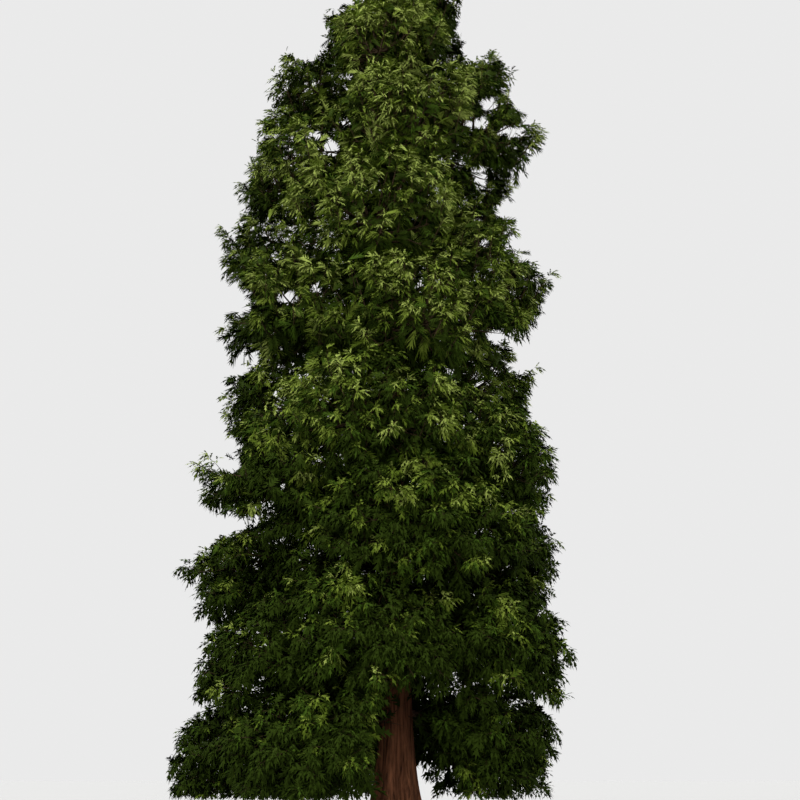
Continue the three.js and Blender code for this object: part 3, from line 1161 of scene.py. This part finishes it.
def makeFoliage():
    masses = []
    for index, plan in enumerate(plans):
        random = np.random.default_rng(plan["seed"])
        high = float(highAt(plan["middle"][2]))
        masses.append((plan, growWood(plan, index, high, random), high, random))
    shadeAt = shadeGrid(np.concatenate([wood["shoots"][:, 2] for _, wood, _, _ in masses]))
    print("shoots", sum(len(wood["shoots"]) for _, wood, _, _ in masses))
    pieces, twigParts = [([], [])], []
    for index, (plan, wood, high, random) in enumerate(masses):
        shedShaded(wood, shadeAt, random)
        sprays = [part(wood, index, high, shadeAt, random) for part in (outerSprays, innerSprays)]
        if triangleCount(pieces[-1][0] + sprays) > mostTriangles:
            pieces.append(([], []))
        pieces[-1][0].extend(sprays)
        pieces[-1][1].append(f"foliage_{plan['label']}")
        twigParts += woodParts(wood)
        counts = [len(part["triangles"]) for part in sprays]
        print(plan["label"], len(wood["limbs"]), len(wood["shoots"]), *counts)
    for i, (parts, nodes) in enumerate(pieces):
        finishPiece(triangleMesh(f"sprays_{i + 1}", parts, leafMaterials), nodes, "foliage")
    finishPiece(triangleMesh("twigs", twigParts, [twigBark]), [], "bark")
    total = sum(triangleCount(parts) for parts, _ in pieces)
    print("sprays", total, "triangles; twigs", triangleCount(twigParts))


makeFoliage()

# Trunk: rings drawn up from the flat cut, pushed in and out by flutes and strips of bark

bark = {
    "sides": 168,
    "lowRings": 110,
    "lowHeight": 5.0,
    "highRings": 40,
    "strips": [(4.0, 0.22, 0.02), (10.0, 0.45, 0.017), (22.0, 0.9, 0.007)],  # (across, along, depth)
    "stripsFade": 9.0,
    "stripsLeft": 0.35,
    "fullRadius": 0.45,
}


def barkDepth(height, angle, radius):
    x, y = math.cos(angle), math.sin(angle)
    depth = 0.0
    for across, along, amount in bark["strips"]:
        place = Vector((x * across, y * across, height * along + across))
        depth += amount * (1 - 2 * abs(noise.noise(place)))
    left = lerp(bark["stripsLeft"], 1, math.exp(-height / bark["stripsFade"]))
    return depth * min(1, radius / bark["fullRadius"]) * left


# One more ring of faces; what is returned is its far edges and their points.
def extrudeRing(bm, ring):
    grown = bmesh.ops.extrude_edge_only(bm, edges=ring)["geom"]
    edges = [g for g in grown if isinstance(g, bmesh.types.BMEdge) and all(v in grown for v in g.verts)]
    return edges, [g for g in grown if isinstance(g, bmesh.types.BMVert)]


def makeTrunk():
    bm = bmesh.new()
    bmesh.ops.create_circle(bm, cap_ends=True, segments=bark["sides"], radius=1)
    bmesh.ops.reverse_faces(bm, faces=bm.faces[:])
    rise = np.arange(1, bark["highRings"] + 1) / bark["highRings"]
    ringHeights = list(np.linspace(0, bark["lowHeight"], bark["lowRings"] + 1)[1:])
    ringHeights += list(lerp(bark["lowHeight"], trunk["height"], rise))
    ring = bm.edges[:]
    for height in ringHeights:
        ring, ringVerts = extrudeRing(bm, ring)
        for v in ringVerts:
            v.co.z = height
    bmesh.ops.contextual_create(bm, geom=ring)
    for v in bm.verts:
        height, angle = v.co.z, math.atan2(v.co.y, v.co.x)
        radius = trunkRadius(height) * fluting(height, angle)
        radius += barkDepth(height, angle, radius)
        v.co.x, v.co.y = radius * math.cos(angle), radius * math.sin(angle)
    return meshPiece(bm, "trunkBole", trunkBark)


finishPiece(makeTrunk(), ["trunk"], "bark")

# Boughs: one tapering limb each, from inside the trunk to its foot in the foliage

bough = {
    "radius": 0.12,
    "tipRadius": 0.062,
    "sides": 16,
    "rings": 26,
    "bend": 0.55,
    "arch": 0.15,
    "hidden": 0.8,
    "knot": 0.014,
    "knotScale": 7,
    "ridge": 0.006,
    "ridgeScale": 3.1,
}


def growBough(bm, plan):
    bend = lerp(plan["origin"], plan["foot"], bough["bend"])
    bend = bend + upward * bough["arch"] * np.linalg.norm(plan["foot"] - plan["origin"])
    curve = (plan["origin"][None], bend[None], plan["foot"][None])
    t = np.linspace(0.0, 1, bough["rings"] + 1)
    path = curvePoints(*curve, t)
    along = curveDirections(*curve, t)
    across, over = acrossAndOver(along)
    hidden = np.array([bough["hidden"] * trunkRadius(z) for z in path[:, 2]])
    inside = np.hypot(path[:, 0], path[:, 1]) < hidden
    first = max(0, int(inside.sum()) - 1)
    ringVerts = bmesh.ops.create_circle(bm, cap_ends=True, segments=bough["sides"], radius=1)["verts"]
    ring = list({e for v in ringVerts for e in v.link_edges})
    for i in range(first, len(t)):
        if i > first:
            ring, ringVerts = extrudeRing(bm, ring)
        radius = lerp(bough["radius"], bough["tipRadius"], t[i])
        centre = Vector(path[i])
        frameNow = Matrix((across[i], over[i], along[i])).transposed()
        if i == first:
            for v in ringVerts:
                angle = math.atan2(v.co.y, v.co.x)
                v.co = centre + frameNow @ Vector((math.cos(angle), math.sin(angle), 0)) * radius
        else:
            before = Matrix((across[i - 1], over[i - 1], along[i - 1]))
            lastRadius = lerp(bough["radius"], bough["tipRadius"], t[i - 1])
            for v in ringVerts:
                local = before @ (v.co - Vector(path[i - 1])) / lastRadius
                local.z = 0
                v.co = centre + frameNow @ (local.normalized() * radius)
    bmesh.ops.contextual_create(bm, geom=ring)


def roughenBoughs(bm):
    bm.normal_update()
    for v in bm.verts:
        place = v.co * bough["knotScale"]
        push = bough["knot"] * noise.noise(place)
        push += bough["ridge"] * noise.noise(place * bough["ridgeScale"])
        v.co += v.normal * push


def makeBoughs():
    bm = bmesh.new()
    nodes = []
    for plan in plans:
        if plan["hasBough"]:
            growBough(bm, plan)
            nodes.append(f"bough_{plan['label']}")
    roughenBoughs(bm)
    return meshPiece(bm, "boughs", boughBark), nodes


finishPiece(*makeBoughs(), "bark")

# Floor, light and camera

studio = {
    "floorSize": 300,
    "floor": (0.42, 0.42, 0.415),
    "zenith": 2.6,
    "horizon": 1.05,
    "gathered": 1.9,
    "lamp": 2.1,
    "lampTurn": (0.95, -0.25),
    "lampWidth": 1.0,
    "backdrop": 1.03,
}


def makeFloor():
    bm = bmesh.new()
    bmesh.ops.create_grid(bm, x_segments=1, y_segments=1, size=studio["floorSize"])
    material, _ = newMaterial("paleFloor", {"Base Color": (*studio["floor"], 1), "Roughness": 0.9})
    floor = meshPiece(bm, "floor", material)


def makeSky():
    world = bpy.data.worlds.new("softLight")
    bpy.context.scene.world = world
    world.use_nodes = True
    nodes, links = world.node_tree.nodes, world.node_tree.links
    nodes.clear()
    place, split, rise, gather, lighting, backdrop, path, mix, output = newNodes(
        nodes, "TexCoord", "SeparateXYZ", "MapRange", "Math", "Background", "Background",
        "LightPath", "MixShader", "OutputWorld",
    )
    links.new(place.outputs["Generated"], split.inputs[0])
    setInputs(rise, {"To Min": studio["horizon"], "To Max": studio["zenith"]})
    gather.operation = "POWER"
    gather.inputs[1].default_value = studio["gathered"]
    gather.use_clamp = True
    links.new(split.outputs["Z"], gather.inputs[0])
    links.new(gather.outputs[0], rise.inputs["Value"])
    links.new(rise.outputs[0], lighting.inputs["Strength"])
    backdrop.inputs["Strength"].default_value = studio["backdrop"]
    links.new(path.outputs["Is Camera Ray"], mix.inputs["Fac"])
    links.new(lighting.outputs[0], mix.inputs[1])
    links.new(backdrop.outputs[0], mix.inputs[2])
    links.new(mix.outputs[0], output.inputs["Surface"])


def makeLamp():
    lamp = bpy.data.lights.new("softLamp", "SUN")
    lamp.energy = studio["lamp"]
    lamp.angle = studio["lampWidth"]
    inScene("softLamp", lamp).rotation_euler = (*studio["lampTurn"], 0)


view = {"pitch": 13.8, "lens": 68.4, "sensor": 36, "shift": 0.00625, "farthest": 500}


def makeCamera():
    data = bpy.data.cameras.new("view")
    data.lens = view["lens"]
    data.sensor_width = view["sensor"]
    data.shift_x = view["shift"]
    data.clip_end = view["farthest"]
    camera = inScene("view", data)
    camera.location = eye
    camera.rotation_euler = (math.radians(90 + view["pitch"]), 0, 0)
    bpy.context.scene.camera = camera


makeFloor()
makeSky()
makeLamp()
makeCamera()
bpy.context.scene.view_settings.view_transform = "Standard"
